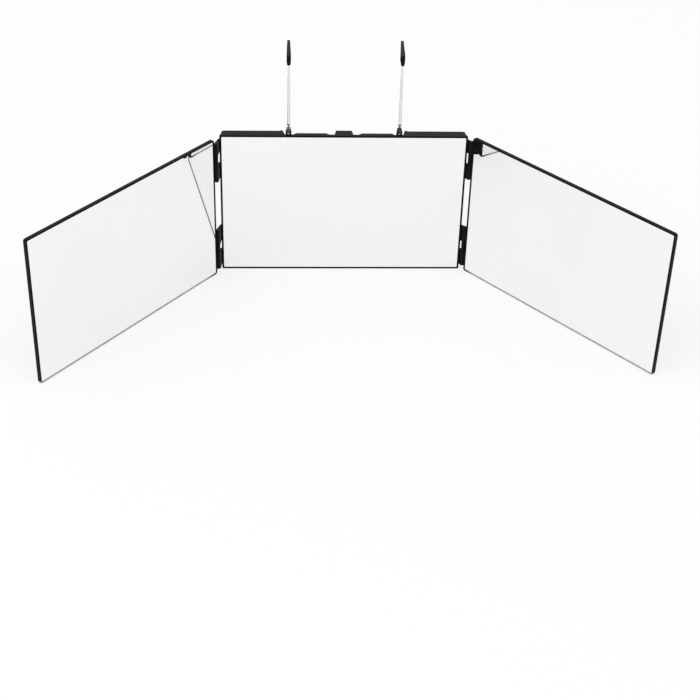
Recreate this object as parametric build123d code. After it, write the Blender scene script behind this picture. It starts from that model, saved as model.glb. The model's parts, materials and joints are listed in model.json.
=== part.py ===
from build123d import *
import os

# Trifold vanity mirror: a centre panel with two swinging wings, and two telescopic rods with door
# hooks that fold down into a bay behind the centre panel.
#
# Millimetres and degrees. The origin is the middle of the centre frame's bottom edge; +X is to the
# viewer's right, +Y goes to the back and +Z up, so the mirrors face -Y. Depths of the centre panel
# are counted from its glass face and are turned into Y by depth_y().

# ------------------------------------------------------------------ driving sizes
# Mirror glass, one size for the three panels
glass_width = 280.0
glass_height = 174.0
glass_thick = 1.8
glass_corner = 1.2
glass_arris = 0.3           # ground edge
glass_play = 0.15           # all round, in its pocket
tape_thick = 0.3            # double-sided tape behind the glass
tape_inset = 3.0

# Moulded frames
bezel = 2.0                 # rim that shows round the glass
centre_corner = 2.0
wing_corner = 3.0
wing_hinge_rim = 2.3        # rim beside the hinges
rim_round = 0.5             # front outer edge of the rim
rim_proud = 0.4             # rim in front of the glass face
centre_floor = 1.2
wing_floor = 1.5
wing_border = 7.0           # raised border round the back of a wing
wing_border_rise = 0.6
wing_back_round = 0.9
wing_recess_corner = 4.0

# Wings as they stand, counted from a flat, fully open mirror
left_wing_angle = 51.0
right_wing_angle = 49.5

# Hinges: knuckles moulded on the frames, turning on steel pins
hinge_side_gap = 3.6        # pin axis outside the centre frame's edge
wing_side_gap = 2.5         # pin axis to the wing's edge
wing_set_back = 0.5         # wing's glass face behind the pin axis
left_axis_forward = 9.5     # pin axis in front of the centre glass, so that the left wing folds last
right_axis_forward = 1.2
knuckle_radius = 2.3
pin_radius = 1.0
pin_play = 0.05             # radial, in the wing's knuckle
pin_seat = 0.01             # radial, in the centre's knuckles
lower_hinge_z = 6.5
upper_hinge_inset = 5.5     # top of the upper hinge below the frame's top
lower_hinge_knuckles = (20.7, 12.0, 20.1)      # the centre's, the wing's and the centre's, from below
upper_hinge_knuckles = (18.9, 14.2, 15.9)
knuckle_play = 0.25         # axial
lug_root = 1.0              # width of a lug where it meets the frame's side
wing_arm_thick = 1.9

# Back housing: a hollow U-shaped cover round the rod bay
housing_depth = 12.7        # back face, from the glass face
housing_wall = 1.8
housing_side_slope = 2.2    # the side walls lean in by this
housing_back_round = 0.5
housing_corner = 6.0
bay_play = 0.9              # a bracket's ear to the bay's side, at the bay's floor
bay_side_slope = 2.6
bay_end_room = 25.4         # under the folded hooks
bay_corner = 6.0
bay_rim_width = 2.4         # raised rim round the bay's edge
bay_rim_rise = 1.5
bay_rim_round = 0.6

# Top edge of the bay: two low lips and a middle block, bonded to the centre frame's back
lip_inner = 16.8
lip_outer = 57.8
lip_depth = 6.5             # from the glass face
lip_height = 8.0
lip_inner_slope = 3.6
lip_outer_slope = 3.2
block_root_width = 21.5
block_top_width = 18.1
block_depth = 13.35         # from the glass face
block_height = 28.0
block_wall = 1.6

# Housing screws
screw_side_inset = 13.0     # from the frame's sides
screw_end_inset = 10.0      # from its top and bottom
low_screw_inset = 18.4      # bottom screws, inside the rods' axes
screw_shank = 1.1           # radius
screw_head = 2.3            # radius
screw_head_height = 1.2
screw_length = 7.0          # under the head
screw_slot = 0.6            # cross recess width
screw_slot_depth = 0.7
screw_slot_share = 0.7      # half length of the recess, of the head's radius
boss_radius = 3.0
screw_play = 0.2            # in the housing
thread_play = 0.01          # in the boss

# Rod pivots
rod_x = 63.4
rod_depth = 7.0             # rod axis behind the glass face
pivot_rise = 2.0            # above the frame's top
pivot_pin_radius = 1.0
pivot_head_radius = 1.7
pivot_head_height = 0.5
ear_gap = 2.0               # between the two ears
ear_root_width = 6.4        # over both ears, up to the frame's top
ear_tip_width = 4.4
ear_rise = 6.5              # tips above the frame's top
ear_drop = 4.5              # roots below the frame's top
ear_reach = 3.4             # behind the pivot axis
ear_round = 1.7
bracket_plate = 1.0
bracket_drop = 14.0
bracket_inner = 5.2         # plate's inner edge from the rod's axis
bracket_outer = 9.6
bracket_flange = 3.0        # upturned end that hooks behind the housing's wall
bracket_play = 0.1
washer_thick = 0.25
washer_radius = 2.4
washer_play = 0.05
tongue_thick = 1.4
tongue_width = 5.0
tongue_length = 8.2
foot_collar_radius = 2.0
foot_collar_height = 1.2
foot_spigot = 4.0

# Telescopic tubes, from the outermost in, pushed together
tube_radii = (1.8, 1.35)
rod_radius = 0.9
tube_wall = 0.25
tube_lip = 1.5              # rolled-in mouth
slide_play = 0.05           # radial
bush_length = 5.0
nest_step = 0.5             # each section starts this much above the last
outer_tube_top = 67.0       # above the frame's top
second_tube_tip = 11.0      # shown beyond the outer tube

# Hooks
hook_bottom = 84.4          # above the frame's top
hook_top = 96.6
hook_neck = 5.0             # height of the tapered lower part of the socket
hook_neck_half = 1.4
hook_chin = 1.5             # height of the neck's lower, steeper taper
hook_chin_half = 2.0
hook_half_width = 2.45
hook_tip_half = 1.5
hook_socket_front = 2.9     # half depth of the socket
hook_arm = 42.3             # rod axis to the hook's back face
hook_arm_thick = 4.0
hook_leg_thick = 2.6
hook_leg_length = 25.2
hook_front_round = 1.0      # top front edge
hook_tip_round = 1.0
hook_inner_round = 1.6
hook_outer_round = 2.4
hook_play = 0.05
rod_head_radius = 1.4
rod_head_height = 1.5
head_well_radius = 1.6
head_well_floor = 5.4       # above the hook's bottom
plug_play = 0.02
plug_gap = 0.3
collar_radius = 1.5
collar_height = 1.7
collar_play = 0.1
pad_thick = 1.0
pad_half_width = 1.1
pad_end = 1.5               # stops short of the leg's tip
hook_turns = {"left": 0.0, "right": -2.7}      # as they stand, from straight back

cut_over = 1.0              # how far a cut runs past the face that it opens

# ------------------------------------------------------------------ worked-out sizes
frame_width = glass_width + 2 * bezel
frame_height = glass_height + 2 * bezel
wing_width = glass_width + bezel + wing_hinge_rim
pocket_depth = glass_thick + tape_thick
centre_depth = pocket_depth + centre_floor
wing_depth = pocket_depth + wing_floor + wing_border_rise
face_y = -centre_depth / 2
centre_edge = frame_width / 2
left_axis = (-centre_edge - hinge_side_gap, face_y - left_axis_forward)
right_axis = (centre_edge + hinge_side_gap, face_y - right_axis_forward)
rod_y = face_y + rod_depth
pivot_z = frame_height + pivot_rise
outer_tube_z = pivot_z + tongue_length + foot_collar_height
upper_hinge_z = frame_height - upper_hinge_inset - sum(upper_hinge_knuckles)
hinges = {"lower": (lower_hinge_z, lower_hinge_knuckles), "upper": (upper_hinge_z, upper_hinge_knuckles)}
bay_half_width = rod_x + ear_root_width / 2 + bay_play      # at the bay's floor
bay_bottom = frame_height + 2 * pivot_rise - hook_top - bay_end_room
screw_x = centre_edge - screw_side_inset
low_screw_x = rod_x - low_screw_inset
parts = {}


# ------------------------------------------------------------------ helpers
def depth_y(depth):
    """Y of a depth counted from the centre panel's glass face."""
    return face_y + depth


def box_between(x_range, y_range, z_range):
    """A box from its low and high limits along each axis."""
    sizes = [high - low for low, high in (x_range, y_range, z_range)]
    middle = [(high + low) / 2 for low, high in (x_range, y_range, z_range)]
    return Pos(*middle) * Box(*sizes)


def upright_plate(width, height, corner, y_range, z_low, x_mid=0.0):
    """A plate with rounded corners that stands in the X-Z plane."""
    back = Plane(origin=(x_mid, y_range[1], z_low + height / 2), x_dir=(1, 0, 0), z_dir=(0, -1, 0))
    return extrude(back * RectangleRounded(width, height, corner), amount=y_range[1] - y_range[0])


def prism_z(points, z_range):
    """A prism over (x, y) points, from z to z."""
    base = Plane.XY.offset(z_range[0])
    return extrude(base * make_face(Polyline(*points, close=True)), amount=z_range[1] - z_range[0])


def prism_y(points, y_range):
    """A prism over (x, z) points, from y to y."""
    back = Plane(origin=(0, y_range[1], 0), x_dir=(1, 0, 0), z_dir=(0, -1, 0))
    return extrude(back * make_face(Polyline(*points, close=True)), amount=y_range[1] - y_range[0])


def rod_z(radius, z_range, x=0.0, y=0.0):
    """A round bar along Z."""
    height = z_range[1] - z_range[0]
    return Pos(x, y, z_range[0] + height / 2) * Cylinder(radius, height)


def rod_y_axis(radius, y_range, x=0.0, z=0.0):
    """A round bar along Y."""
    height = y_range[1] - y_range[0]
    return Pos(x, y_range[0] + height / 2, z) * Rot(90, 0, 0) * Cylinder(radius, height)


def rod_x_axis(radius, x_range, y=0.0, z=0.0):
    """A round bar along X."""
    length = x_range[1] - x_range[0]
    return Pos(x_range[0] + length / 2, y, z) * Rot(0, 90, 0) * Cylinder(radius, length)


def edges_at(solid, axis, value, tolerance=0.01):
    """The solid's edges whose middle lies at a value along an axis."""
    return [e for e in solid.edges() if abs(getattr(e.center(), axis) - value) < tolerance]


# ------------------------------------------------------------------ panels
def glass_plate(y_front, x_mid=0.0):
    """The mirror glass, with its ground edges."""
    y_range = (y_front, y_front + glass_thick)
    plate = upright_plate(glass_width, glass_height, glass_corner, y_range, bezel, x_mid)
    return chamfer(edges_at(plate, "Y", y_range[0]) + edges_at(plate, "Y", y_range[1]), glass_arris)


def tape_sheet(y_front, x_mid=0.0):
    """The tape between the glass and the frame's floor."""
    y_range = (y_front + glass_thick, y_front + pocket_depth)
    width = glass_width - 2 * tape_inset
    height = glass_height - 2 * tape_inset
    return upright_plate(width, height, glass_corner, y_range, bezel + tape_inset, x_mid)


def tray(y_front, depth, width, outer_corner, x_mid=0.0, glass_mid=0.0, back_round=0.0):
    """A frame moulding: rim and floor, with the pocket that takes the glass at y_front."""
    y_rim = y_front - rim_proud
    y_back = y_front + depth
    body = upright_plate(width, frame_height, outer_corner, (y_rim, y_back), 0, x_mid)
    if back_round:
        body = fillet(edges_at(body, "Y", y_back), back_round)
    body = fillet(edges_at(body, "Y", y_rim), rim_round)
    pocket_width = glass_width + 2 * glass_play
    height = glass_height + 2 * glass_play
    corner = glass_corner + glass_play
    span = (y_rim - cut_over, y_front + pocket_depth)
    return body - upright_plate(pocket_width, height, corner, span, bezel - glass_play, glass_mid)


def hinge_span(level):
    """Z range of the lower or the upper hinge."""
    low, knuckles = hinges[level]
    return (low, low + sum(knuckles))


def knuckle_spans(level):
    """Z ranges of a hinge's lower centre, wing and upper centre knuckles."""
    low, knuckles = hinges[level]
    wing_low = low + knuckles[0]
    wing_high = wing_low + knuckles[1]
    half_play = knuckle_play / 2
    return (
        (low, wing_low - half_play),
        (wing_low + half_play, wing_high - half_play),
        (wing_high + half_play, hinge_span(level)[1]),
    )


def centre_lug(side, axis, z_range):
    """One of the centre frame's knuckles, on a lug that runs forward from the frame's side."""
    edge = side * centre_edge
    root = [
        (edge, depth_y(centre_depth)),
        (edge, depth_y(rim_round)),
        (axis[0] - side * knuckle_radius, axis[1]),
        (axis[0] + side * knuckle_radius, axis[1]),
        (edge + side * lug_root, depth_y(centre_depth)),
    ]
    return prism_z(root, z_range) + rod_z(knuckle_radius, z_range, *axis)


def centre_hinge(side, axis, level):
    """The centre frame's two knuckles of one hinge."""
    lower, _, upper = knuckle_spans(level)
    return centre_lug(side, axis, lower) + centre_lug(side, axis, upper)


def bay_lip(side):
    """A low lip along the top of the bay, with sloped ends."""
    low = side * lip_inner
    high = side * lip_outer
    points = [
        (low, depth_y(centre_depth)),
        (low + side * lip_inner_slope, depth_y(lip_depth)),
        (high - side * lip_outer_slope, depth_y(lip_depth)),
        (high, depth_y(centre_depth)),
    ]
    return prism_z(points, (frame_height - lip_height, frame_height))


def block_plan(inset):
    """Plan of the bay's middle block, or of its hollow when it is inset by the wall."""
    root = block_root_width / 2 - inset
    top = block_top_width / 2 - inset
    y_root = depth_y(centre_depth)
    y_top = depth_y(block_depth - inset)
    return [(-root, y_root), (-top, y_top), (top, y_top), (root, y_root)]


def bay_block():
    """The block in the middle of the bay's top edge, open below."""
    low = frame_height - block_height
    outer = prism_z(block_plan(0), (low, frame_height))
    return outer - prism_z(block_plan(block_wall), (low - cut_over, frame_height - block_wall))


def screw_places():
    """(x, z) of the housing screws."""
    low = screw_end_inset
    rows = (low, frame_height / 2, frame_height - low)
    columns = [(x, z) for x in (-screw_x, screw_x) for z in rows]
    return columns + [(-low_screw_x, low), (low_screw_x, low)]


def centre_frame():
    """The centre moulding: tray, hinge lugs and screw bosses."""
    body = tray(face_y, centre_depth, frame_width, centre_corner)
    for side, axis in ((-1, left_axis), (1, right_axis)):
        for level in hinges:
            body += centre_hinge(side, axis, level)
            low, high = hinge_span(level)
            body -= rod_z(pin_radius + pin_seat, (low - cut_over, high + cut_over), *axis)
    for x, z in screw_places():
        boss = (depth_y(centre_depth - centre_floor / 2), depth_y(housing_depth - housing_wall))
        body += rod_y_axis(boss_radius, boss, x, z)
        pilot = (depth_y(centre_depth), depth_y(housing_depth))
        body -= rod_y_axis(screw_shank + thread_play, pilot, x, z)
    return body


def wing_glass_mid(side):
    """Middle of a wing's glass, from its pin axis, with the wing open flat."""
    return side * (wing_side_gap + wing_hinge_rim + glass_width / 2)


def wing_frame(side, axis, angle):
    """A wing moulding at its standing angle: tray with a bordered back, and the middle knuckles."""
    x_mid = side * (wing_side_gap + wing_width / 2)
    glass_mid = wing_glass_mid(side)
    body = tray(wing_set_back, wing_depth, wing_width, wing_corner, x_mid, glass_mid, wing_back_round)
    back = wing_set_back + wing_depth
    recess_width = wing_width - 2 * wing_border
    recess_height = frame_height - 2 * wing_border
    recess_span = (back - wing_border_rise, back + cut_over)
    body -= upright_plate(recess_width, recess_height, wing_recess_corner, recess_span, wing_border, x_mid)
    for level in hinges:
        _, span, _ = knuckle_spans(level)
        arm_x = sorted((0.0, side * (wing_side_gap + bezel / 2)))
        arm = box_between(arm_x, (wing_set_back, wing_set_back + wing_arm_thick), span)
        body += arm + rod_z(knuckle_radius, span)
        body -= rod_z(pin_radius + pin_play, hinge_span(level))
    return stand_wing(body, side, axis, angle)


def stand_wing(shape, side, axis, angle):
    """Turn a wing's piece about its pin axis, from open flat to where it stands."""
    return Pos(axis[0], axis[1], 0) * Rot(0, 0, -side * angle) * shape


def hinge_pin(axis, level):
    """A steel hinge pin."""
    return rod_z(pin_radius, hinge_span(level), *axis)


# ------------------------------------------------------------------ back housing
def housing_plan(inset):
    """Plan of the housing's outside, or of its inside when it is inset by the wall."""
    front = centre_edge - inset
    back = centre_edge - housing_side_slope - inset
    y_front = depth_y(centre_depth)
    y_back = depth_y(housing_depth - inset)
    return [(-front, y_front), (-back, y_back), (back, y_back), (front, y_front)]


def bay_space(grow):
    """The rod bay, open at the top and the back, or grown by a wall or a rim."""
    low = bay_bottom - grow
    front = bay_half_width + grow
    rise = bay_side_slope / (housing_depth - centre_depth)
    before = cut_over
    behind = bay_rim_rise + cut_over
    y_front = depth_y(centre_depth) - before
    y_back = depth_y(housing_depth) + behind
    back = front + bay_side_slope + rise * behind
    front -= rise * before
    plan = [(-front, y_front), (-back, y_back), (back, y_back), (front, y_front)]
    block = prism_z(plan, (low, frame_height + cut_over))
    corners = [e for e in edges_at(block, "Z", low) if abs(e.center().X) > front / 2]
    return fillet(corners, bay_corner + grow)


def bay_rim():
    """The raised rim that runs round the bay's edge, rounded on its outside."""
    span = (depth_y(housing_depth - housing_wall), depth_y(housing_depth + bay_rim_rise))
    slab = upright_plate(frame_width, frame_height, housing_corner, span, 0)
    rim = fillet(edges_at(slab & bay_space(bay_rim_width), "Y", span[1]), bay_rim_round)
    return rim - bay_space(0)


def housing_screw_cuts():
    """Clearance holes and head seats for the screws."""
    cuts = []
    for x, z in screw_places():
        hole = (depth_y(housing_depth - housing_wall) - cut_over, depth_y(housing_depth) + cut_over)
        seat = (depth_y(housing_depth - screw_head_height), depth_y(housing_depth) + cut_over)
        cuts.append(rod_y_axis(screw_shank + screw_play, hole, x, z))
        cuts.append(rod_y_axis(screw_head + screw_play, seat, x, z))
    return cuts


def bracket_slot(side):
    """The slot in the bay's side wall that a rod bracket's plate passes through."""
    inner = side * (bay_half_width - cut_over)
    outer = side * (rod_x + bracket_outer + bracket_play)
    z_low = frame_height - bracket_drop - bracket_play
    slot_y = (depth_y(centre_depth) - cut_over, depth_y(centre_depth + bracket_plate + bracket_play))
    return box_between(sorted((inner, outer)), slot_y, (z_low, frame_height - housing_wall + bracket_play))


def back_housing():
    """The hollow cover behind the centre panel, with its side boxes and the box under the bay."""
    body = prism_z(housing_plan(0), (0, frame_height))
    body = fillet(edges_at(body, "Y", depth_y(housing_depth)), housing_back_round)
    outline = (depth_y(centre_depth), depth_y(housing_depth))
    body &= upright_plate(frame_width, frame_height, housing_corner, outline, 0)
    body -= bay_space(0)
    cavity = prism_z(housing_plan(housing_wall), (housing_wall, frame_height - housing_wall))
    body -= cavity - bay_space(housing_wall)
    body += bay_rim()
    for cut in housing_screw_cuts():
        body -= cut
    for side in (-1, 1):
        body -= bracket_slot(side)
    return body


def housing_screw(x, z):
    """A pan-headed screw with a cross recess."""
    top = depth_y(housing_depth)
    seat = top - screw_head_height
    body = rod_y_axis(screw_head, (seat, top), x, z)
    body += rod_y_axis(screw_shank, (seat - screw_length, seat), x, z)
    arm = screw_head * screw_slot_share
    slot_y = (top - screw_slot_depth, top + cut_over)
    body -= box_between((x - arm, x + arm), slot_y, (z - screw_slot / 2, z + screw_slot / 2))
    body -= box_between((x - screw_slot / 2, x + screw_slot / 2), slot_y, (z - arm, z + arm))
    return body


# ------------------------------------------------------------------ rod pivots
def rod_bracket(side):
    """The clevis that a rod swings in: two ears on a plate trapped under the housing."""
    x = side * rod_x
    root = ear_root_width / 2
    tip = ear_tip_width / 2
    gap = ear_gap / 2
    low = frame_height - ear_drop
    top = frame_height + ear_rise
    floor_y = depth_y(centre_depth)
    ears_y = (floor_y, rod_y + ear_reach)
    points = [
        (x - root, low), (x + root, low), (x + root, frame_height),
        (x + tip, top), (x - tip, top), (x - root, frame_height),
    ]
    ears = prism_y(points, ears_y)
    gap_x = (x - gap, x + gap)
    gap_back = ears_y[1] + cut_over
    ears -= box_between(gap_x, (floor_y + bracket_plate, gap_back), (low - cut_over, top + cut_over))
    ears -= box_between(gap_x, (floor_y - cut_over, gap_back), (frame_height, top + cut_over))
    tips = [e for e in edges_at(ears, "Z", top) if abs(e.center().Y - ears_y[1]) < ear_round]
    ears = fillet(tips, ear_round)
    plate_z = (frame_height - bracket_drop, frame_height - housing_wall)
    plate_x = sorted((x - side * bracket_inner, x + side * bracket_outer))
    plate = box_between(plate_x, (floor_y, floor_y + bracket_plate), plate_z)
    flange_x = sorted((x + side * (bracket_outer - bracket_plate), x + side * bracket_outer))
    flange = box_between(flange_x, (floor_y, floor_y + bracket_flange), plate_z)
    body = ears + plate + flange
    hole = (x - ear_root_width, x + ear_root_width)
    return body - rod_x_axis(pivot_pin_radius + pin_seat, hole, rod_y, pivot_z)


def ear_half_at(z):
    """Half width over the ears at a height."""
    share = (z - frame_height) / ear_rise
    return (ear_root_width + share * (ear_tip_width - ear_root_width)) / 2


def pivot_pin(side):
    """The rivet through the ears."""
    x = side * rod_x
    half = ear_half_at(pivot_z - pivot_head_radius)
    shank = rod_x_axis(pivot_pin_radius, (x - half, x + half), rod_y, pivot_z)
    heads = [
        rod_x_axis(pivot_head_radius, (x + half, x + half + pivot_head_height), rod_y, pivot_z),
        rod_x_axis(pivot_head_radius, (x - half - pivot_head_height, x - half), rod_y, pivot_z),
    ]
    return shank + heads[0] + heads[1]


def pivot_washers(side):
    """The two spring washers that grip the rod's tongue."""
    washers = []
    for hand in (-1, 1):
        inner = side * rod_x + hand * (tongue_thick / 2 + washer_play)
        span = sorted((inner, inner + hand * washer_thick))
        ring = rod_x_axis(washer_radius, span, rod_y, pivot_z)
        hole = (span[0] - cut_over, span[1] + cut_over)
        washers.append(ring - rod_x_axis(pivot_pin_radius + pin_seat, hole, rod_y, pivot_z))
    return Compound(children=washers)


def rod_foot(side):
    """The flat tongue that turns on the rivet, with the spigot that carries the outer tube."""
    x = side * rod_x
    half = tongue_width / 2
    collar_z = pivot_z + tongue_length
    thick = (x - tongue_thick / 2, x + tongue_thick / 2)
    body = box_between(thick, (rod_y - half, rod_y + half), (pivot_z, collar_z))
    body += rod_x_axis(half, thick, rod_y, pivot_z)
    body += rod_z(foot_collar_radius, (collar_z, outer_tube_z), x, rod_y)
    bore = tube_radii[0] - tube_wall
    body += rod_z(bore - thread_play, (outer_tube_z, outer_tube_z + foot_spigot), x, rod_y)
    hole = (x - tongue_thick / 2 - cut_over, x + tongue_thick / 2 + cut_over)
    return body - rod_x_axis(pivot_pin_radius + pin_play, hole, rod_y, pivot_z)


# ------------------------------------------------------------------ telescopic sections
def section_tops():
    """Tops of the two tubes, pushed together."""
    outer = frame_height + outer_tube_top
    return (outer, outer + second_tube_tip)


def section_bottom(index):
    """Bottom of a section: 0 is the outer tube and 2 the inner rod."""
    if index == 0:
        return outer_tube_z
    return outer_tube_z + foot_spigot + nest_step * index


def tube(index, x):
    """A tube with a rolled-in mouth that guides the next section."""
    radius = tube_radii[index]
    low = section_bottom(index)
    top = section_tops()[index]
    inner_radius = (tube_radii + (rod_radius,))[index + 1]
    body = rod_z(radius, (low, top), x, rod_y)
    body -= rod_z(radius - tube_wall, (low - cut_over, top - tube_lip), x, rod_y)
    return body - rod_z(inner_radius + slide_play, (low, top + cut_over), x, rod_y)


def bush(index, x):
    """The bronze bush on a section's lower end, which grips the tube round it."""
    radius = (tube_radii + (rod_radius,))[index]
    bore = tube_radii[index - 1] - tube_wall
    low = section_bottom(index)
    top = low + bush_length
    hole = rod_z(radius + thread_play, (low - cut_over, top + cut_over), x, rod_y)
    return rod_z(bore - slide_play, (low, top), x, rod_y) - hole


def slide_travel(index):
    """How far a section draws out before its bush meets the mouth of the tube round it."""
    mouth = section_tops()[index - 1] - tube_lip
    return mouth - section_bottom(index) - bush_length


def inner_rod(x):
    """The solid inner rod, with the head that the hook turns under."""
    head = frame_height + hook_bottom + head_well_floor + hook_play
    body = rod_z(rod_radius, (section_bottom(len(tube_radii)), head), x, rod_y)
    return body + rod_z(rod_head_radius, (head, head + rod_head_height), x, rod_y)


def hook_collar(x):
    """The ring under the hook."""
    top = frame_height + hook_bottom - collar_play
    span = (top - collar_height, top)
    ring = rod_z(collar_radius, span, x, rod_y)
    return ring - rod_z(rod_radius + thread_play, (span[0] - cut_over, span[1] + cut_over), x, rod_y)


# ------------------------------------------------------------------ hooks
def hook_side_view():
    """(y, z) outline of a hook seen from its side, with y from the rod's axis."""
    low = frame_height + hook_bottom
    neck = low + hook_neck
    top = frame_height + hook_top
    under = top - hook_arm_thick
    leg_low = top - hook_leg_length
    inner = hook_arm - hook_leg_thick
    front = hook_socket_front
    foot = (hook_neck_half + front) / 2
    return [
        (-foot, low), (-front, neck), (-front, top), (hook_arm, top), (hook_arm, leg_low),
        (inner, leg_low), (inner, under), (front, under), (front, neck), (foot, low),
    ]


def hook_plan():
    """(x, y) outline of a hook seen from above: the arm tapers to its back."""
    front = hook_socket_front + cut_over
    back = hook_arm + cut_over
    return [
        (-hook_half_width, -front), (hook_half_width, -front), (hook_half_width, hook_socket_front),
        (hook_tip_half, back), (-hook_tip_half, back), (-hook_half_width, hook_socket_front),
    ]


def hook_front_view():
    """(x, z) outline of a hook seen from the front: the socket tapers down to its neck."""
    low = frame_height + hook_bottom
    below = frame_height + hook_top - hook_leg_length - cut_over
    top = frame_height + hook_top + cut_over
    right = [
        (hook_neck_half, below), (hook_neck_half, low), (hook_chin_half, low + hook_chin),
        (hook_half_width, low + hook_neck), (hook_half_width, top),
    ]
    return right + [(-x, z) for x, z in reversed(right)]


def door_hook(x):
    """A moulded hook: tapered socket, arm over the door and leg behind it."""
    low = frame_height + hook_bottom
    top = frame_height + hook_top
    leg_low = top - hook_leg_length
    under = top - hook_arm_thick
    side_plane = Plane(origin=(x - hook_half_width, rod_y, 0), x_dir=(0, 1, 0), z_dir=(1, 0, 0))
    side_face = side_plane * make_face(Polyline(*hook_side_view(), close=True))
    body = extrude(side_face, amount=2 * hook_half_width)
    inside = [e for e in edges_at(body, "Z", under) if abs(e.center().X - x) < hook_play]
    body = fillet(inside, hook_inner_round)
    back_top = [e for e in edges_at(body, "Z", top) if abs(e.center().Y - rod_y - hook_arm) < hook_play]
    body = fillet(back_top, hook_outer_round)
    tip = [e for e in edges_at(body, "Z", leg_low) if abs(e.center().X - x) < hook_play]
    body = fillet(tip, hook_tip_round)
    plan = [(x + dx, rod_y + dy) for dx, dy in hook_plan()]
    body &= prism_z(plan, (leg_low - cut_over, top + cut_over))
    front_view = [(x + dx, z) for dx, z in hook_front_view()]
    body &= prism_y(front_view, (rod_y - hook_socket_front - cut_over, rod_y + hook_arm + cut_over))
    front_y = rod_y - hook_socket_front
    front_top = [e for e in edges_at(body, "Z", top) if abs(e.center().Y - front_y) < hook_play]
    body = fillet(front_top, hook_front_round)
    body -= rod_z(rod_radius + hook_play, (low - cut_over, top), x, rod_y)
    return body - rod_z(head_well_radius, (low + head_well_floor, top + cut_over), x, rod_y)


def hook_plug(x):
    """The plug that closes the well over the rod's head."""
    head_top = frame_height + hook_bottom + head_well_floor + hook_play + rod_head_height
    span = (head_top + plug_gap, frame_height + hook_top)
    return rod_z(head_well_radius - plug_play, span, x, rod_y)


def hook_pad(x):
    """The rubber lining under the arm and down the leg."""
    under = frame_height + hook_top - hook_arm_thick
    leg_low = frame_height + hook_top - hook_leg_length + pad_end
    inner = rod_y + hook_arm - hook_leg_thick
    start = rod_y + hook_socket_front + hook_inner_round
    width = (x - pad_half_width, x + pad_half_width)
    arm = box_between(width, (start, inner), (under - pad_thick, under))
    leg = box_between(width, (inner - pad_thick, inner), (leg_low, under))
    bend_y = inner - hook_inner_round
    bend_z = under - hook_inner_round
    corner = box_between(width, (bend_y, inner), (bend_z, under))
    return (arm + leg) - (corner - rod_x_axis(hook_inner_round, width, bend_y, bend_z))


def turn_hook(shape, x, turn):
    """Turn a hook's piece about its rod's axis."""
    return Pos(x, rod_y, 0) * Rot(0, 0, turn) * Pos(-x, -rod_y, 0) * shape


# ------------------------------------------------------------------ the assembly
parts["centre_frame"] = centre_frame()
parts["centre_mirror"] = glass_plate(face_y)
parts["centre_tape"] = tape_sheet(face_y)
parts["bay_block"] = bay_block()
parts["back_housing"] = back_housing()
parts["housing_screws"] = Compound(children=[housing_screw(x, z) for x, z in screw_places()])

for name, side, axis, angle in (
    ("left", -1, left_axis, left_wing_angle),
    ("right", 1, right_axis, right_wing_angle),
):
    wing_mid = wing_glass_mid(side)
    parts[name + "_wing_frame"] = wing_frame(side, axis, angle)
    parts[name + "_wing_mirror"] = stand_wing(glass_plate(wing_set_back, wing_mid), side, axis, angle)
    parts[name + "_wing_tape"] = stand_wing(tape_sheet(wing_set_back, wing_mid), side, axis, angle)
    for level in hinges:
        parts[name + "_" + level + "_hinge_pin"] = hinge_pin(axis, level)

    x = side * rod_x
    parts[name + "_bay_lip"] = bay_lip(side)
    parts[name + "_rod_bracket"] = rod_bracket(side)
    parts[name + "_pivot_pin"] = pivot_pin(side)
    parts[name + "_pivot_washers"] = pivot_washers(side)
    parts[name + "_rod_foot"] = rod_foot(side)
    parts[name + "_outer_tube"] = tube(0, x)
    parts[name + "_second_tube"] = tube(1, x)
    parts[name + "_inner_rod"] = inner_rod(x)
    parts[name + "_second_tube_bush"] = bush(1, x)
    parts[name + "_inner_rod_bush"] = bush(2, x)
    parts[name + "_hook_collar"] = hook_collar(x)
    parts[name + "_door_hook"] = turn_hook(door_hook(x), x, hook_turns[name])
    parts[name + "_hook_plug"] = turn_hook(hook_plug(x), x, hook_turns[name])
    parts[name + "_hook_pad"] = turn_hook(hook_pad(x), x, hook_turns[name])

os.makedirs("parts", exist_ok=True)
for node, shape in parts.items():
    export_step(shape, "parts/" + node + ".step")

print("hinges", [hinge_span(level) for level in hinges])
print("pin axes", left_axis, right_axis, "rod", rod_x, rod_y, "pivot z", pivot_z)
print("slide travel", [round(slide_travel(i), 2) for i in (1, 2)])
print("hook z", frame_height + hook_bottom, frame_height + hook_top, "nodes", len(parts))
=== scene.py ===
# %% [markdown]
# # A trifold vanity mirror
# Three mirrors in black plastic frames stand like a folding screen. Two telescopic rods rise behind
# the middle one, and each carries a hook that goes over the top of a door. The shapes come from a
# CAD model, so this lesson is about the camera, the finishes, the light and the small fittings.
# Blender works in metres, so a size in millimetres is written with MM after it.

# %% Load the CAD model as a fixed frame
import json
import math

import bpy
from mathutils import Matrix, Vector


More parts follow.
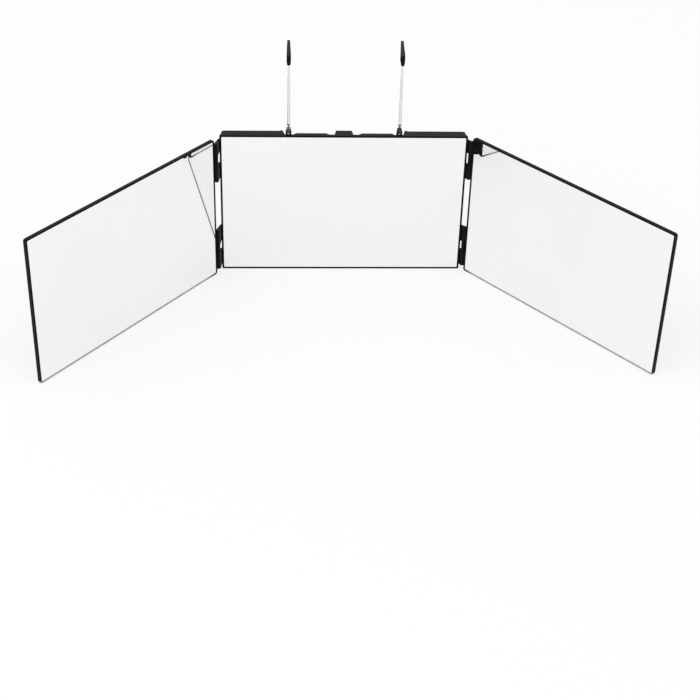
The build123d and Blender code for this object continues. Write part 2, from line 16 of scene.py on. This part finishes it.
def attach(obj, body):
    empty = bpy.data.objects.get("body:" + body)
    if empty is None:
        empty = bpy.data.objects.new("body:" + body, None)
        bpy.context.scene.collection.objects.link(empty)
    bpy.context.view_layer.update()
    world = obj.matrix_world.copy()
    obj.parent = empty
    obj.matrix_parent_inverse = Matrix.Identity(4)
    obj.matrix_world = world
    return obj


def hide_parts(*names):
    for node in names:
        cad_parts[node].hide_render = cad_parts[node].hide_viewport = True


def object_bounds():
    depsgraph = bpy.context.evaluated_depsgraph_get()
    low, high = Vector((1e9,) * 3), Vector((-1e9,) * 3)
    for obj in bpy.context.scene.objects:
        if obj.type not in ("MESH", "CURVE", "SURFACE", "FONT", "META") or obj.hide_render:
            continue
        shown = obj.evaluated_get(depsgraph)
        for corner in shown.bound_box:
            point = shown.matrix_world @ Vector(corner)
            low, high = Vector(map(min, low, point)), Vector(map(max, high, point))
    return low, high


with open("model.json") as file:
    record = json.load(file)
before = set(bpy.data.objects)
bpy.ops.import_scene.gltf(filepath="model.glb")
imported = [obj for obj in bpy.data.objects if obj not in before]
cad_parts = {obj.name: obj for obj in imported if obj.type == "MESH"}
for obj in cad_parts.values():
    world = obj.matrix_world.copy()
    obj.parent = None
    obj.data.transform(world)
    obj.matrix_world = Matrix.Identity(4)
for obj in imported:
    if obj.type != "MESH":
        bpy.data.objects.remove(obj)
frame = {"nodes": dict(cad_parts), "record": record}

MM = 0.001

cad_low, cad_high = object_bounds()
nodes = frame["nodes"]
slot_of = {part["node"]: part["material_slot"] for part in frame["record"]["subparts"]}
cad_size = [round(high - low, 4) for low, high in zip(cad_low, cad_high)]
print("CAD nodes:", len(nodes), "size:", cad_size)

# %% [markdown]
# ## The camera
# A camera is a place, a direction and a lens. Here it stands high and looks down, with a long lens,
# so that the top edges of the frames show but the panels stay nearly upright. A small shift moves
# the picture in the frame without turning the camera, as a view camera does. We build the camera's
# three axes from a heading, a tilt and a small roll, and write them as a matrix.

# %% Place the camera
CAMERA_PLACE = Vector((-0.0717337, -1.5034718, 0.941255))
CAMERA_HEADING = math.radians(2.9464)
CAMERA_TILT = math.radians(32.3044)
CAMERA_ROLL = math.radians(-1.621)
CAMERA_LENS, CAMERA_SENSOR = 75.8117, 36.0
CAMERA_SHIFT = (0.0069, -0.1070)


def camera_matrix(place, heading, tilt, roll):
    """World matrix of a camera that looks along +Y at zero heading."""
    reach = math.cos(tilt)
    forward = Vector((math.sin(heading) * reach, math.cos(heading) * reach, -math.sin(tilt)))
    level = Vector((math.cos(heading), -math.sin(heading), 0.0))
    down = forward.cross(level)
    right = math.cos(roll) * level + math.sin(roll) * down
    up = math.sin(roll) * level - math.cos(roll) * down
    return Matrix.Translation(place) @ Matrix((right, up, -forward)).transposed().to_4x4()


camera_data = bpy.data.cameras.new("camera")
camera_data.sensor_width = CAMERA_SENSOR
camera_data.lens = CAMERA_LENS
camera_data.shift_x, camera_data.shift_y = CAMERA_SHIFT
camera = bpy.data.objects.new("camera", camera_data)
camera.matrix_world = camera_matrix(CAMERA_PLACE, CAMERA_HEADING, CAMERA_TILT, CAMERA_ROLL)
bpy.context.scene.collection.objects.link(camera)
bpy.context.scene.camera = camera
print("camera looks down", round(math.degrees(CAMERA_TILT), 1), "degrees, lens", CAMERA_LENS, "mm")

# %% [markdown]
# ## Tools for nodes
# Materials and Geometry Nodes are both built from nodes, and most lines of such a script only make
# a node and fill its inputs. One helper does that. It changes the node's settings first, because
# they decide which inputs the node has. Three more put values through nodes that calculate: one for
# sums of any kind, one for products, and one that stretches a value from one pair of limits to
# another.


# %% Helpers for every node tree
def add_node(tree, kind, inputs, **settings):
    """A node with its settings, whose inputs each get a value or another node's output."""
    node = tree.nodes.new(kind)
    for setting, value in settings.items():
        setattr(node, setting, value)
    for label, value in inputs.items():
        if isinstance(value, bpy.types.NodeSocket):
            tree.links.new(value, node.inputs[label])
        else:
            node.inputs[label].default_value = value
    return node


def maths(tree, operation, first, second=0.0):
    """The result of a maths node; each operand is an output or a number."""
    operands = {0: first, 1: second}
    return add_node(tree, "ShaderNodeMath", operands, operation=operation).outputs[0]


def times(tree, first, second):
    """The product of two outputs or numbers."""
    return maths(tree, "MULTIPLY", first, second)


def spread(tree, source, low, high, start=0.3, stop=0.7):
    """A value stretched from between start and stop to between low and high, and held there."""
    limits = {"From Min": start, "From Max": stop, "To Min": low, "To Max": high}
    return add_node(tree, "ShaderNodeMapRange", {"Value": source, **limits}).outputs["Result"]


# %% [markdown]
# ## Tools for finishes
# Every finish is a small node tree round a Principled shader. The patterns are noises, and they read
# Object coordinates, so that a pattern stays with its piece when the piece moves. Helpers make the
# noise, mix two colours by it, let it change the gloss, and raise it as relief.


# %% Helpers for finishes
def new_finish(name, colour, roughness=0.5, metallic=0.0):
    """A material with a Principled shader; returns it with its node tree and shader."""
    material = bpy.data.materials.new(name)
    material.use_nodes = True
    tree = material.node_tree
    shader = next(n for n in tree.nodes if n.type == "BSDF_PRINCIPLED")
    shader.inputs["Base Color"].default_value = (*colour, 1.0)
    shader.inputs["Roughness"].default_value = roughness
    shader.inputs["Metallic"].default_value = metallic
    return material, tree, shader


def grain(tree, scale, detail=2.0, stretch=(1.0, 1.0, 1.0)):
    """A noise on Object coordinates; scale is in grains per metre, before the stretch."""
    place = tree.nodes.new("ShaderNodeTexCoord").outputs["Object"]
    mapping = add_node(tree, "ShaderNodeMapping", {"Vector": place, "Scale": stretch})
    noise = {"Vector": mapping.outputs["Vector"], "Scale": scale, "Detail": detail}
    return add_node(tree, "ShaderNodeTexNoise", noise).outputs["Fac"]


def two_tone(tree, shader, factor, first, second):
    """Mix two colours by a factor into a shader's colour."""
    mix = tree.nodes.new("ShaderNodeMix")
    mix.data_type = "RGBA"
    colours = [s for s in mix.inputs if s.type == "RGBA"]
    colours[0].default_value = (*first, 1.0)
    colours[1].default_value = (*second, 1.0)
    mixed = next(s for s in mix.outputs if s.type == "RGBA")
    tree.links.new(factor, mix.inputs["Factor"])
    tree.links.new(mixed, shader.inputs["Base Color"])


def vary_gloss(tree, shader, pattern, low, high):
    """Let a pattern move a shader's roughness between two limits."""
    tree.links.new(spread(tree, pattern, low, high), shader.inputs["Roughness"])


def relief(tree, shader, pattern, depth):
    """Raise a pattern as fine relief; depth is in metres."""
    bump = add_node(tree, "ShaderNodeBump", {"Height": pattern, "Distance": depth})
    tree.links.new(bump.outputs["Normal"], shader.inputs["Normal"])


# %% [markdown]
# ## Black moulded plastic
# The frames, the back cover, the rod brackets and the hooks are moulded in black ABS. The mould is
# finely spark-eroded, which leaves a satin skin: a very fine relief, with a gloss that changes
# slowly over the surface where the plastic flowed and cooled. One noise gives the skin and a much
# larger one the slow change. A low specular level keeps the front rims deep black against a white
# room.

# %% The satin skin of the frames
PLASTIC, PLASTIC_FLOW = (0.0028, 0.0028, 0.003), (0.004, 0.004, 0.0044)
PLASTIC_SPECULAR = 0.09
PLASTIC_GLOSS = (0.36, 0.46)
FLOW_GRAIN, FLOW_DETAIL = 22.0, 1.0
SKIN_GRAIN, SKIN_DETAIL, SKIN_DEPTH = 2600.0, 3.0, 0.012 * MM


def moulded_plastic(name):
    """Satin black plastic; returns the material, its tree, its shader and its slow noise."""
    material, tree, shader = new_finish(name, PLASTIC)
    shader.inputs["Specular IOR Level"].default_value = PLASTIC_SPECULAR
    flow = grain(tree, FLOW_GRAIN, FLOW_DETAIL)
    vary_gloss(tree, shader, flow, *PLASTIC_GLOSS)
    relief(tree, shader, grain(tree, SKIN_GRAIN, SKIN_DETAIL), SKIN_DEPTH)
    return material, tree, shader, flow


centre_plastic, tree, shader, flow = moulded_plastic("moulded_plastic")
two_tone(tree, shader, spread(tree, flow, 0.0, 1.0), PLASTIC, PLASTIC_FLOW)
print("plastic:", centre_plastic.name)

# %% [markdown]
# ## The wings' pale lower edges
# The wings' frames are painted a paler grey along their lower edges, but not beside the hinges.
# Height above the table is the Z of the Object coordinates, so a mask is the height, faded out over
# two millimetres, times the distance from the hinges along X, and broken up by a noise.

# %% Plastic with a paler lower edge
PALE_EDGE_SOLID, PALE_EDGE_TOP = 1.8 * MM, 4.0 * MM
PALE_EDGE_START_X, PALE_EDGE_FULL_X = 150.0 * MM, 158.0 * MM
PALE_EDGE_GREY = (0.5, 0.5, 0.51)
PALE_EDGE_GRAIN, PALE_EDGE_DETAIL, PALE_EDGE_LEAST = 420.0, 4.0, 0.62

wing_plastic, tree, shader, _ = moulded_plastic("wing_plastic")
place = tree.nodes.new("ShaderNodeTexCoord").outputs["Object"]
axes = add_node(tree, "ShaderNodeSeparateXYZ", {"Vector": place})
low_edge = spread(tree, axes.outputs["Z"], 1.0, 0.0, PALE_EDGE_SOLID, PALE_EDGE_TOP)
edge_breakup = spread(tree, grain(tree, PALE_EDGE_GRAIN, PALE_EDGE_DETAIL), PALE_EDGE_LEAST, 1.0)
sideways = maths(tree, "ABSOLUTE", axes.outputs["X"])
from_hinge = spread(tree, sideways, 0.0, 1.0, PALE_EDGE_START_X, PALE_EDGE_FULL_X)
pale_edge = times(tree, times(tree, low_edge, edge_breakup), from_hinge)
# The wings' lower edges are painted a paler grey here, away from the hinges.
two_tone(tree, shader, pale_edge, PLASTIC, PALE_EDGE_GREY)
print("pale edge up to", PALE_EDGE_TOP / MM, "mm")

# %% [markdown]
# ## Silvered glass
# A household mirror is float glass with silver behind it. Its first surface is glass, but nearly all
# the light comes back from the silver, so a metal with no roughness is the honest shortcut: it has
# one clean reflection. Silver returns a little less red than blue light through the greenish glass.
# A very faint, slow change of tone stands for the glass's own unevenness.

# %% Silver behind glass
SILVER_DARK, SILVER_LIGHT = (0.905, 0.912, 0.92), (0.925, 0.93, 0.935)
TONE_GRAIN, TONE_DETAIL = 9.0, 1.0

mirror, tree, shader = new_finish("silvered_glass", SILVER_DARK, roughness=0.0, metallic=1.0)
tone = spread(tree, grain(tree, TONE_GRAIN, TONE_DETAIL), 0.0, 1.0)
two_tone(tree, shader, tone, SILVER_DARK, SILVER_LIGHT)
print("mirror:", mirror.name)

# %% [markdown]
# ## Metals
# The telescopic tubes are drawn steel with a chrome plate. Drawing leaves faint lines along the
# tube, so the noise is squeezed along Z until its grains are long streaks. The rivets and screws are
# plain steel, the hinge pins and the rods' feet are blackened, and the bushes in the tubes are
# bronze.

# %% Chrome on drawn tube
CHROME, CHROME_GLOSS = (0.78, 0.78, 0.79), (0.07, 0.2)
STREAK_GRAIN, STREAK_DETAIL, STREAK_DEPTH = 5200.0, 2.0, 0.004 * MM
STREAKS = (1.0, 1.0, 0.02)

chrome, tree, shader = new_finish("chrome_plate", CHROME, metallic=1.0)
lines = grain(tree, STREAK_GRAIN, STREAK_DETAIL, STREAKS)
vary_gloss(tree, shader, lines, *CHROME_GLOSS)
relief(tree, shader, lines, STREAK_DEPTH)
print("streaks are", 1 / STREAKS[2], "times as long as wide")

# %% Steel and bronze
STEEL, STEEL_GLOSS = (0.55, 0.55, 0.56), (0.2, 0.38)
DARK_STEEL, DARK_STEEL_GLOSS = (0.07, 0.07, 0.075), (0.3, 0.48)
BRONZE, BRONZE_GLOSS = (0.5, 0.33, 0.14), (0.28, 0.42)
STEEL_GRAIN, STEEL_DETAIL = 1800.0, 3.0
BRONZE_GRAIN, BRONZE_DETAIL = 1500.0, 2.0


def turned_metal(name, colour, gloss, scale, detail):
    """A metal whose gloss changes with a fine grain."""
    material, tree, shader = new_finish(name, colour, metallic=1.0)
    vary_gloss(tree, shader, grain(tree, scale, detail), *gloss)
    return material


steel = turned_metal("bright_steel", STEEL, STEEL_GLOSS, STEEL_GRAIN, STEEL_DETAIL)
dark_steel = turned_metal("blackened_steel", DARK_STEEL, DARK_STEEL_GLOSS,
                          STEEL_GRAIN, STEEL_DETAIL)
bronze = turned_metal("bush_bronze", BRONZE, BRONZE_GLOSS, BRONZE_GRAIN, BRONZE_DETAIL)
print("metals:", [metal.name for metal in (chrome, steel, dark_steel, bronze)])

# %% [markdown]
# ## Rubber and tape
# The hooks are lined with a strip of soft black rubber, which is duller than the plastic and has a
# slightly open surface. The glass is held by foam tape, which is only seen if a panel comes apart.

# %% Rubber and foam tape
RUBBER, RUBBER_GLOSS, RUBBER_SPECULAR = (0.016, 0.016, 0.016), (0.7, 0.9), 0.3
PORE_GRAIN, PORE_DETAIL, PORE_DEPTH = 3200.0, 3.0, 0.03 * MM
TAPE, TAPE_ROUGHNESS = (0.03, 0.03, 0.03), 0.9
FOAM_GRAIN, FOAM_DEPTH = 1800.0, 0.04 * MM

rubber, tree, shader = new_finish("pad_rubber", RUBBER)
shader.inputs["Specular IOR Level"].default_value = RUBBER_SPECULAR
pores = grain(tree, PORE_GRAIN, PORE_DETAIL)
vary_gloss(tree, shader, pores, *RUBBER_GLOSS)
relief(tree, shader, pores, PORE_DEPTH)
tape, tree, shader = new_finish("foam_tape", TAPE, TAPE_ROUGHNESS)
relief(tree, shader, grain(tree, FOAM_GRAIN), FOAM_DEPTH)
print("soft:", rubber.name, tape.name)

# %% [markdown]
# ## Finishes for the CAD nodes
# The CAD model's record names a material slot for each node, so most nodes get the finish of their
# slot. A few differ from the rest of their slot, and are found by how their names end: the wings'
# frames have the plastic with painted paler lower edges, and the hinge pins and the rods' feet are
# blackened.

# %% Give every CAD node its finish
FINISHES = {
    "black_plastic": centre_plastic,
    "mirror": mirror,
    "chrome": chrome,
    "steel": steel,
    "bronze": bronze,
    "rubber": rubber,
    "tape": tape,
}
SPECIAL = {"wing_frame": wing_plastic, "hinge_pin": dark_steel, "rod_foot": dark_steel}

for name, node in nodes.items():
    finish = next((SPECIAL[end] for end in SPECIAL if name.endswith(end)), FINISHES[slot_of[name]])
    for material_slot in node.material_slots:
        material_slot.material = finish
print("finishes:", sorted(FINISHES), "and", sorted(SPECIAL))

# %% [markdown]
# ## Small fittings with Geometry Nodes
# Screws, pin heads, beads and ribs repeat, so each is described once in a node tree and placed on
# guide points. A tree has named inputs for its sizes. It ends in Realize Instances and Set Material,
# and we keep its result as a plain mesh. One helper starts a tree and another ends it. A third puts
# copies on points, and the last grows a finished tree on its guide points.


# %% Helpers for the trees
def new_tree(name, inputs):
    """A geometry tree with named inputs; returns the tree, its input node and its output node."""
    tree = bpy.data.node_groups.new(name, "GeometryNodeTree")
    tree.interface.new_socket(name="Guide", in_out="INPUT", socket_type="NodeSocketGeometry")
    for label, kind in inputs.items():
        tree.interface.new_socket(name=label, in_out="INPUT", socket_type="NodeSocket" + kind)
    tree.interface.new_socket(name="Mesh", in_out="OUTPUT", socket_type="NodeSocketGeometry")
    return tree, tree.nodes.new("NodeGroupInput"), tree.nodes.new("NodeGroupOutput")


def on_points(tree, points, instance, **placing):
    """The instances of a mesh on points; placing gives their Rotation or Scale."""
    inputs = {"Points": points, "Instance": instance, **placing}
    return add_node(tree, "GeometryNodeInstanceOnPoints", inputs).outputs["Instances"]


def close_tree(tree, given, made, instances):
    """End a tree: make the instances real, give them their finish and hand them out."""
    real = add_node(tree, "GeometryNodeRealizeInstances", {"Geometry": instances})
    coat = add_node(tree, "GeometryNodeSetMaterial", {
        "Geometry": real.outputs["Geometry"], "Material": given.outputs["Finish"],
    })
    tree.links.new(coat.outputs["Geometry"], made.inputs["Mesh"])


def grow(name, tree, points, edges, sizes, body):
    """Grow a tree on guide points and keep the result as a plain mesh that rides on a body."""
    guide = bpy.data.meshes.new(name + "_guide")
    guide.from_pydata(points, edges, [])
    piece = bpy.data.objects.new(name, guide)
    bpy.context.scene.collection.objects.link(piece)
    modifier = piece.modifiers.new("tree", "NODES")
    modifier.node_group = tree
    sockets = {s.name: s.identifier for s in tree.interface.items_tree if s.in_out == "INPUT"}
    for label, value in sizes.items():
        modifier[sockets[label]] = value
    solved = piece.evaluated_get(bpy.context.evaluated_depsgraph_get())
    mesh = bpy.data.meshes.new_from_object(solved)
    piece.modifiers.remove(modifier)
    piece.data = mesh
    mesh.name = name
    mesh.shade_smooth()
    bpy.data.meshes.remove(guide)
    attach(piece, body)
    print(name, len(mesh.polygons), "faces")
    return piece


# %% [markdown]
# ## Screws in the back cover
# Eight self-tapping screws hold the cover. A pan head is a short cylinder with a domed top, and its
# cross recess takes the driver. The head is a cylinder and a large sphere kept where they overlap,
# and two crossed bars are cut away from it. No two screws stop at the same angle, so each gets a
# turn at random, with a fixed seed.

# %% The tree of the screws
screw_tree, given, made = new_tree("pan_head_screws", {
    "Head Radius": "Float", "Head Height": "Float", "Dome Rise": "Float",
    "Cross Width": "Float", "Cross Depth": "Float", "Finish": "Material",
})


def vector(tree, x, y, z):
    """A vector from three outputs or numbers."""
    return add_node(tree, "ShaderNodeCombineXYZ", {"X": x, "Y": y, "Z": z}).outputs[0]


def raised(tree, geometry, height):
    """A geometry moved up along Z."""
    lift = {"Geometry": geometry, "Translation": vector(tree, 0.0, 0.0, height)}
    return add_node(tree, "GeometryNodeTransform", lift).outputs["Geometry"]


print("screw sizes:", [s.name for s in given.outputs if s.type == "VALUE"])

# %% The screw's head
BARREL_SIDES, DOME_FACETS = 40, 48

radius, height = given.outputs["Head Radius"], given.outputs["Head Height"]
rise = given.outputs["Dome Rise"]
barrel = add_node(screw_tree, "GeometryNodeMeshCylinder", {
    "Vertices": BARREL_SIDES, "Radius": radius, "Depth": height,
})
# A cap of radius r that rises by h is cut from a sphere of radius (r * r + h * h) / 2 h.
squares = maths(screw_tree, "ADD",
                times(screw_tree, radius, radius), times(screw_tree, rise, rise))
dome_radius = maths(screw_tree, "DIVIDE", squares, times(screw_tree, rise, 2.0))
ball = add_node(screw_tree, "GeometryNodeMeshUVSphere", {
    "Segments": DOME_FACETS, "Rings": DOME_FACETS, "Radius": dome_radius,
})
head_top = times(screw_tree, height, 0.5)
dome_middle = maths(screw_tree, "SUBTRACT", head_top, dome_radius)
dome = raised(screw_tree, ball.outputs["Mesh"], dome_middle)
overlap = {"Mesh 2": barrel.outputs["Mesh"]}
head = add_node(screw_tree, "GeometryNodeMeshBoolean", overlap, operation="INTERSECT")
screw_tree.links.new(dome, head.inputs["Mesh 2"])
print("head's tree:", len(screw_tree.nodes), "nodes")

# %% The cross recess, and a place for each screw
CROSS_REACH = 1.2
TURN_SEED = 7
QUARTER_TURN = math.tau / 4

whole = {"Mesh 1": head.outputs["Mesh"]}
recess = add_node(screw_tree, "GeometryNodeMeshBoolean", whole, operation="DIFFERENCE")
width, length = given.outputs["Cross Width"], times(screw_tree, radius, CROSS_REACH)
bar_height = times(screw_tree, given.outputs["Cross Depth"], 2.0)
for along, across in ((length, width), (width, length)):
    bar_size = vector(screw_tree, along, across, bar_height)
    bar = add_node(screw_tree, "GeometryNodeMeshCube", {"Size": bar_size})
    screw_tree.links.new(raised(screw_tree, bar.outputs["Mesh"], head_top), recess.inputs["Mesh 2"])
heads = on_points(screw_tree, given.outputs["Guide"], recess.outputs["Mesh"],
                  Rotation=(-QUARTER_TURN, 0.0, 0.0))
turn = add_node(screw_tree, "FunctionNodeRandomValue", {"Seed": TURN_SEED})
limits = [s for s in turn.inputs if s.type == "VALUE"]
limits[0].default_value, limits[1].default_value = 0.0, QUARTER_TURN
turned = next(s for s in turn.outputs if s.type == "VALUE")
twist = add_node(screw_tree, "GeometryNodeRotateInstances", {
    "Instances": heads, "Rotation": vector(screw_tree, 0.0, 0.0, turned),
})
close_tree(screw_tree, given, made, twist.outputs["Instances"])
print("screws turn by up to", round(math.degrees(QUARTER_TURN)), "degrees")

# %% Drive the screws
SCREW_X, LOW_SCREW_X = 129.0 * MM, 45.0 * MM
SCREW_ROWS = (10.0 * MM, 89.0 * MM, 168.0 * MM)
COVER_BACK = 11.05 * MM
HEAD_RADIUS, HEAD_HEIGHT, DOME_RISE = 2.25 * MM, 1.2 * MM, 0.65 * MM
CROSS_WIDTH, CROSS_DEPTH = 0.6 * MM, 0.75 * MM

screw_y = COVER_BACK - HEAD_HEIGHT / 2
screw_points = [(x, screw_y, z) for x in (-SCREW_X, SCREW_X) for z in SCREW_ROWS]
screw_points += [(x, screw_y, SCREW_ROWS[0]) for x in (-LOW_SCREW_X, LOW_SCREW_X)]
screws = grow("cover_screws", screw_tree, screw_points, [], {
    "Head Radius": HEAD_RADIUS, "Head Height": HEAD_HEIGHT, "Dome Rise": DOME_RISE,
    "Cross Width": CROSS_WIDTH, "Cross Depth": CROSS_DEPTH, "Finish": steel,
}, "centre")
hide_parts("housing_screws")

# %% [markdown]
# ## Heads of the hinge pins
# Each hinge turns on a steel pin that is pressed in from the top. Its ends are peened to low domes
# and blackened like the rest of it. A squashed ball on each end of a pin is enough.

# %% The tree and the pin heads
HINGE_AXES = ((-145.6 * MM, -11.15 * MM), (145.6 * MM, -2.85 * MM))
HINGE_ENDS = (6.5 * MM, 59.3 * MM, 123.5 * MM, 172.5 * MM)
PIN_RADIUS, PIN_RISE = 1.25 * MM, 0.4 * MM
PIN_SEGMENTS, PIN_RINGS = 24, 12

pin_tree, given, made = new_tree("pin_heads", {
    "Head Radius": "Float", "Head Rise": "Float", "Finish": "Material",
})
radius, rise = given.outputs["Head Radius"], given.outputs["Head Rise"]
ball = add_node(pin_tree, "GeometryNodeMeshUVSphere", {
    "Segments": PIN_SEGMENTS, "Rings": PIN_RINGS, "Radius": 1.0,
})
heads = on_points(pin_tree, given.outputs["Guide"], ball.outputs["Mesh"],
                  Scale=vector(pin_tree, radius, radius, rise))
close_tree(pin_tree, given, made, heads)
pin_points = [(x, y, z) for x, y in HINGE_AXES for z in HINGE_ENDS]
grow("hinge_pin_heads", pin_tree, pin_points, [], {
    "Head Radius": PIN_RADIUS, "Head Rise": PIN_RISE, "Finish": dark_steel,
}, "centre")

# %% [markdown]
# ## Beads at the tubes' mouths
# The mouth of a telescopic tube is rolled inwards to stop the next one from falling out, and a small
# bead stands proud just below it. A circle swept by a smaller circle makes a bead, one per tube.

# %% The tree and the beads
SIDES = (("left", -1), ("right", 1))
ROD_X, ROD_Y = 63.4 * MM, 5.35 * MM
MOUTHS = {"rod": (245.0 * MM, 1.8 * MM), "second": (256.0 * MM, 1.35 * MM)}
BEAD_DROP, BEAD_RADIUS = 0.55 * MM, 0.2 * MM
RING_SIDES, BEAD_SIDES = 40, 12

bead_tree, given, made = new_tree("tube_bead", {
    "Tube Radius": "Float", "Bead Radius": "Float", "Finish": "Material",
})
ring = add_node(bead_tree, "GeometryNodeCurvePrimitiveCircle", {
    "Resolution": RING_SIDES, "Radius": given.outputs["Tube Radius"],
})
section = add_node(bead_tree, "GeometryNodeCurvePrimitiveCircle", {
    "Resolution": BEAD_SIDES, "Radius": given.outputs["Bead Radius"],
})
sweep = add_node(bead_tree, "GeometryNodeCurveToMesh", {
    "Curve": ring.outputs["Curve"], "Profile Curve": section.outputs["Curve"],
})
beads = on_points(bead_tree, given.outputs["Guide"], sweep.outputs["Mesh"])
close_tree(bead_tree, given, made, beads)
for side, sign in SIDES:
    for part, (mouth_z, tube_radius) in MOUTHS.items():
        body = side + "_" + part
        grow(body + "_bead", bead_tree, [(sign * ROD_X, ROD_Y, mouth_z - BEAD_DROP)], [], {
            "Tube Radius": tube_radius, "Bead Radius": BEAD_RADIUS, "Finish": chrome,
        }, body)

# %% [markdown]
# ## Ribs on the hooks' rubber
# The rubber under a hook's arm and down its leg is ribbed across, so that it grips the door. The
# guide is a line along the pad's face. The tree lays a point every millimetre and a half along it
# and puts a thin round bar across the pad at each point.

# %% The tree of the ribs
RIB_SIDES = 16

rib_tree, given, made = new_tree("rubber_ribs", {
    "Rib Spacing": "Float", "Rib Radius": "Float", "Pad Width": "Float", "Turn": "Float",
    "Finish": "Material",
})
line = add_node(rib_tree, "GeometryNodeMeshToCurve", {"Mesh": given.outputs["Guide"]})
steps = add_node(rib_tree, "GeometryNodeCurveToPoints", {
    "Curve": line.outputs["Curve"], "Length": given.outputs["Rib Spacing"],
}, mode="LENGTH")
bar = add_node(rib_tree, "GeometryNodeMeshCylinder", {
    "Vertices": RIB_SIDES, "Radius": given.outputs["Rib Radius"],
    "Depth": given.outputs["Pad Width"],
})
ribs = on_points(rib_tree, steps.outputs["Points"], bar.outputs["Mesh"],
                 Rotation=vector(rib_tree, 0.0, QUARTER_TURN, given.outputs["Turn"]))
close_tree(rib_tree, given, made, ribs)
print("rib's tree:", len(rib_tree.nodes), "nodes")

# %% Rib both hooks
PAD_LINE = ((5.4, 269.6), (37.6, 269.6), (38.5, 269.3), (38.7, 268.5), (38.7, 251.6))
HOOK_TURNS = {"left": 0.0, "right": -2.7}
RIB_SPACING, RIB_RADIUS, PAD_WIDTH = 1.5 * MM, 0.25 * MM, 2.0 * MM

for side, sign in SIDES:
    angle = math.radians(HOOK_TURNS[side])
    path = []
    for along, z in PAD_LINE:
        x = sign * ROD_X - along * MM * math.sin(angle)
        path.append((x, ROD_Y + along * MM * math.cos(angle), z * MM))
    path_edges = [(i, i + 1) for i in range(len(path) - 1)]
    grow(side + "_pad_ribs", rib_tree, path, path_edges, {
        "Rib Spacing": RIB_SPACING, "Rib Radius": RIB_RADIUS, "Pad Width": PAD_WIDTH,
        "Turn": angle, "Finish": rubber,
    }, side + "_hook")

# %% [markdown]
# ## A white studio
# The mirrors show whatever stands round them, and here that is only a white floor and a white room.
# The light itself stays at a plain level. Only the rays that the camera, a gloss or a glass sends
# out see the floor and the room paler than they are, through the Light Path node, and the object's
# shadow stays on the floor. One wide lamp from the upper left gives that shadow its side.

# %% The floor
FLOOR_HALF = 6.0
FLOOR_WHITE, FLOOR_ROUGHNESS = (0.96, 0.96, 0.96), 0.9
FLOOR_LIFT = 0.7

floor_mesh = bpy.data.meshes.new("floor")
corners = [(x * FLOOR_HALF, y * FLOOR_HALF, 0.0) for x, y in ((-1, -1), (1, -1), (1, 1), (-1, 1))]
floor_mesh.from_pydata(corners, [], [(0, 1, 2, 3)])
floor = bpy.data.objects.new("floor", floor_mesh)
bpy.context.scene.collection.objects.link(floor)
floor_finish, tree, shader = new_finish("white_floor", FLOOR_WHITE, FLOOR_ROUGHNESS)
shader.inputs["Specular IOR Level"].default_value = 0.0


def seen_rays(tree):
    """1 for the rays of the camera, of gloss and of glass, and 0 for the light itself."""
    rays = tree.nodes.new("ShaderNodeLightPath").outputs
    mirrored = maths(tree, "MAXIMUM", rays["Is Glossy Ray"], rays["Is Transmission Ray"])
    return maths(tree, "MAXIMUM", rays["Is Camera Ray"], mirrored)


white = tree.nodes.new("ShaderNodeEmission")
blend = add_node(tree, "ShaderNodeMixShader", {
    "Fac": times(tree, seen_rays(tree), FLOOR_LIFT),
    1: shader.outputs["BSDF"],
    2: white.outputs["Emission"],
})
surface = next(n for n in tree.nodes if n.type == "OUTPUT_MATERIAL").inputs["Surface"]
tree.links.new(blend.outputs["Shader"], surface)
floor_mesh.materials.append(floor_finish)
print("floor:", 2 * FLOOR_HALF, "m wide")

# %% The room and its lamp
ROOM_LIGHT, ROOM_SEEN = 0.9, 1.0
LAMP_PLACE = Vector((-1.2, -1.4, 2.2))
LAMP_WATTS = 14.0
LAMP_SIZE = 1.6

world = bpy.data.worlds.new("studio")
world.use_nodes = True
tree = world.node_tree
sky = next(n for n in tree.nodes if n.type == "BACKGROUND")
sky.inputs["Color"].default_value = (1.0, 1.0, 1.0, 1.0)
level = spread(tree, seen_rays(tree), ROOM_LIGHT, ROOM_SEEN, 0.0, 1.0)
tree.links.new(level, sky.inputs["Strength"])
bpy.context.scene.world = world

lamp_data = bpy.data.lights.new("soft_box", "AREA")
lamp_data.size = LAMP_SIZE
lamp_data.energy = LAMP_WATTS
lamp = bpy.data.objects.new("soft_box", lamp_data)
lamp.location = LAMP_PLACE
lamp.rotation_euler = (-LAMP_PLACE).to_track_quat("-Z", "Y").to_euler()
bpy.context.scene.collection.objects.link(lamp)
bpy.context.scene.view_settings.view_transform = "Standard"
print("room", ROOM_LIGHT, "lamp", LAMP_WATTS, "W")
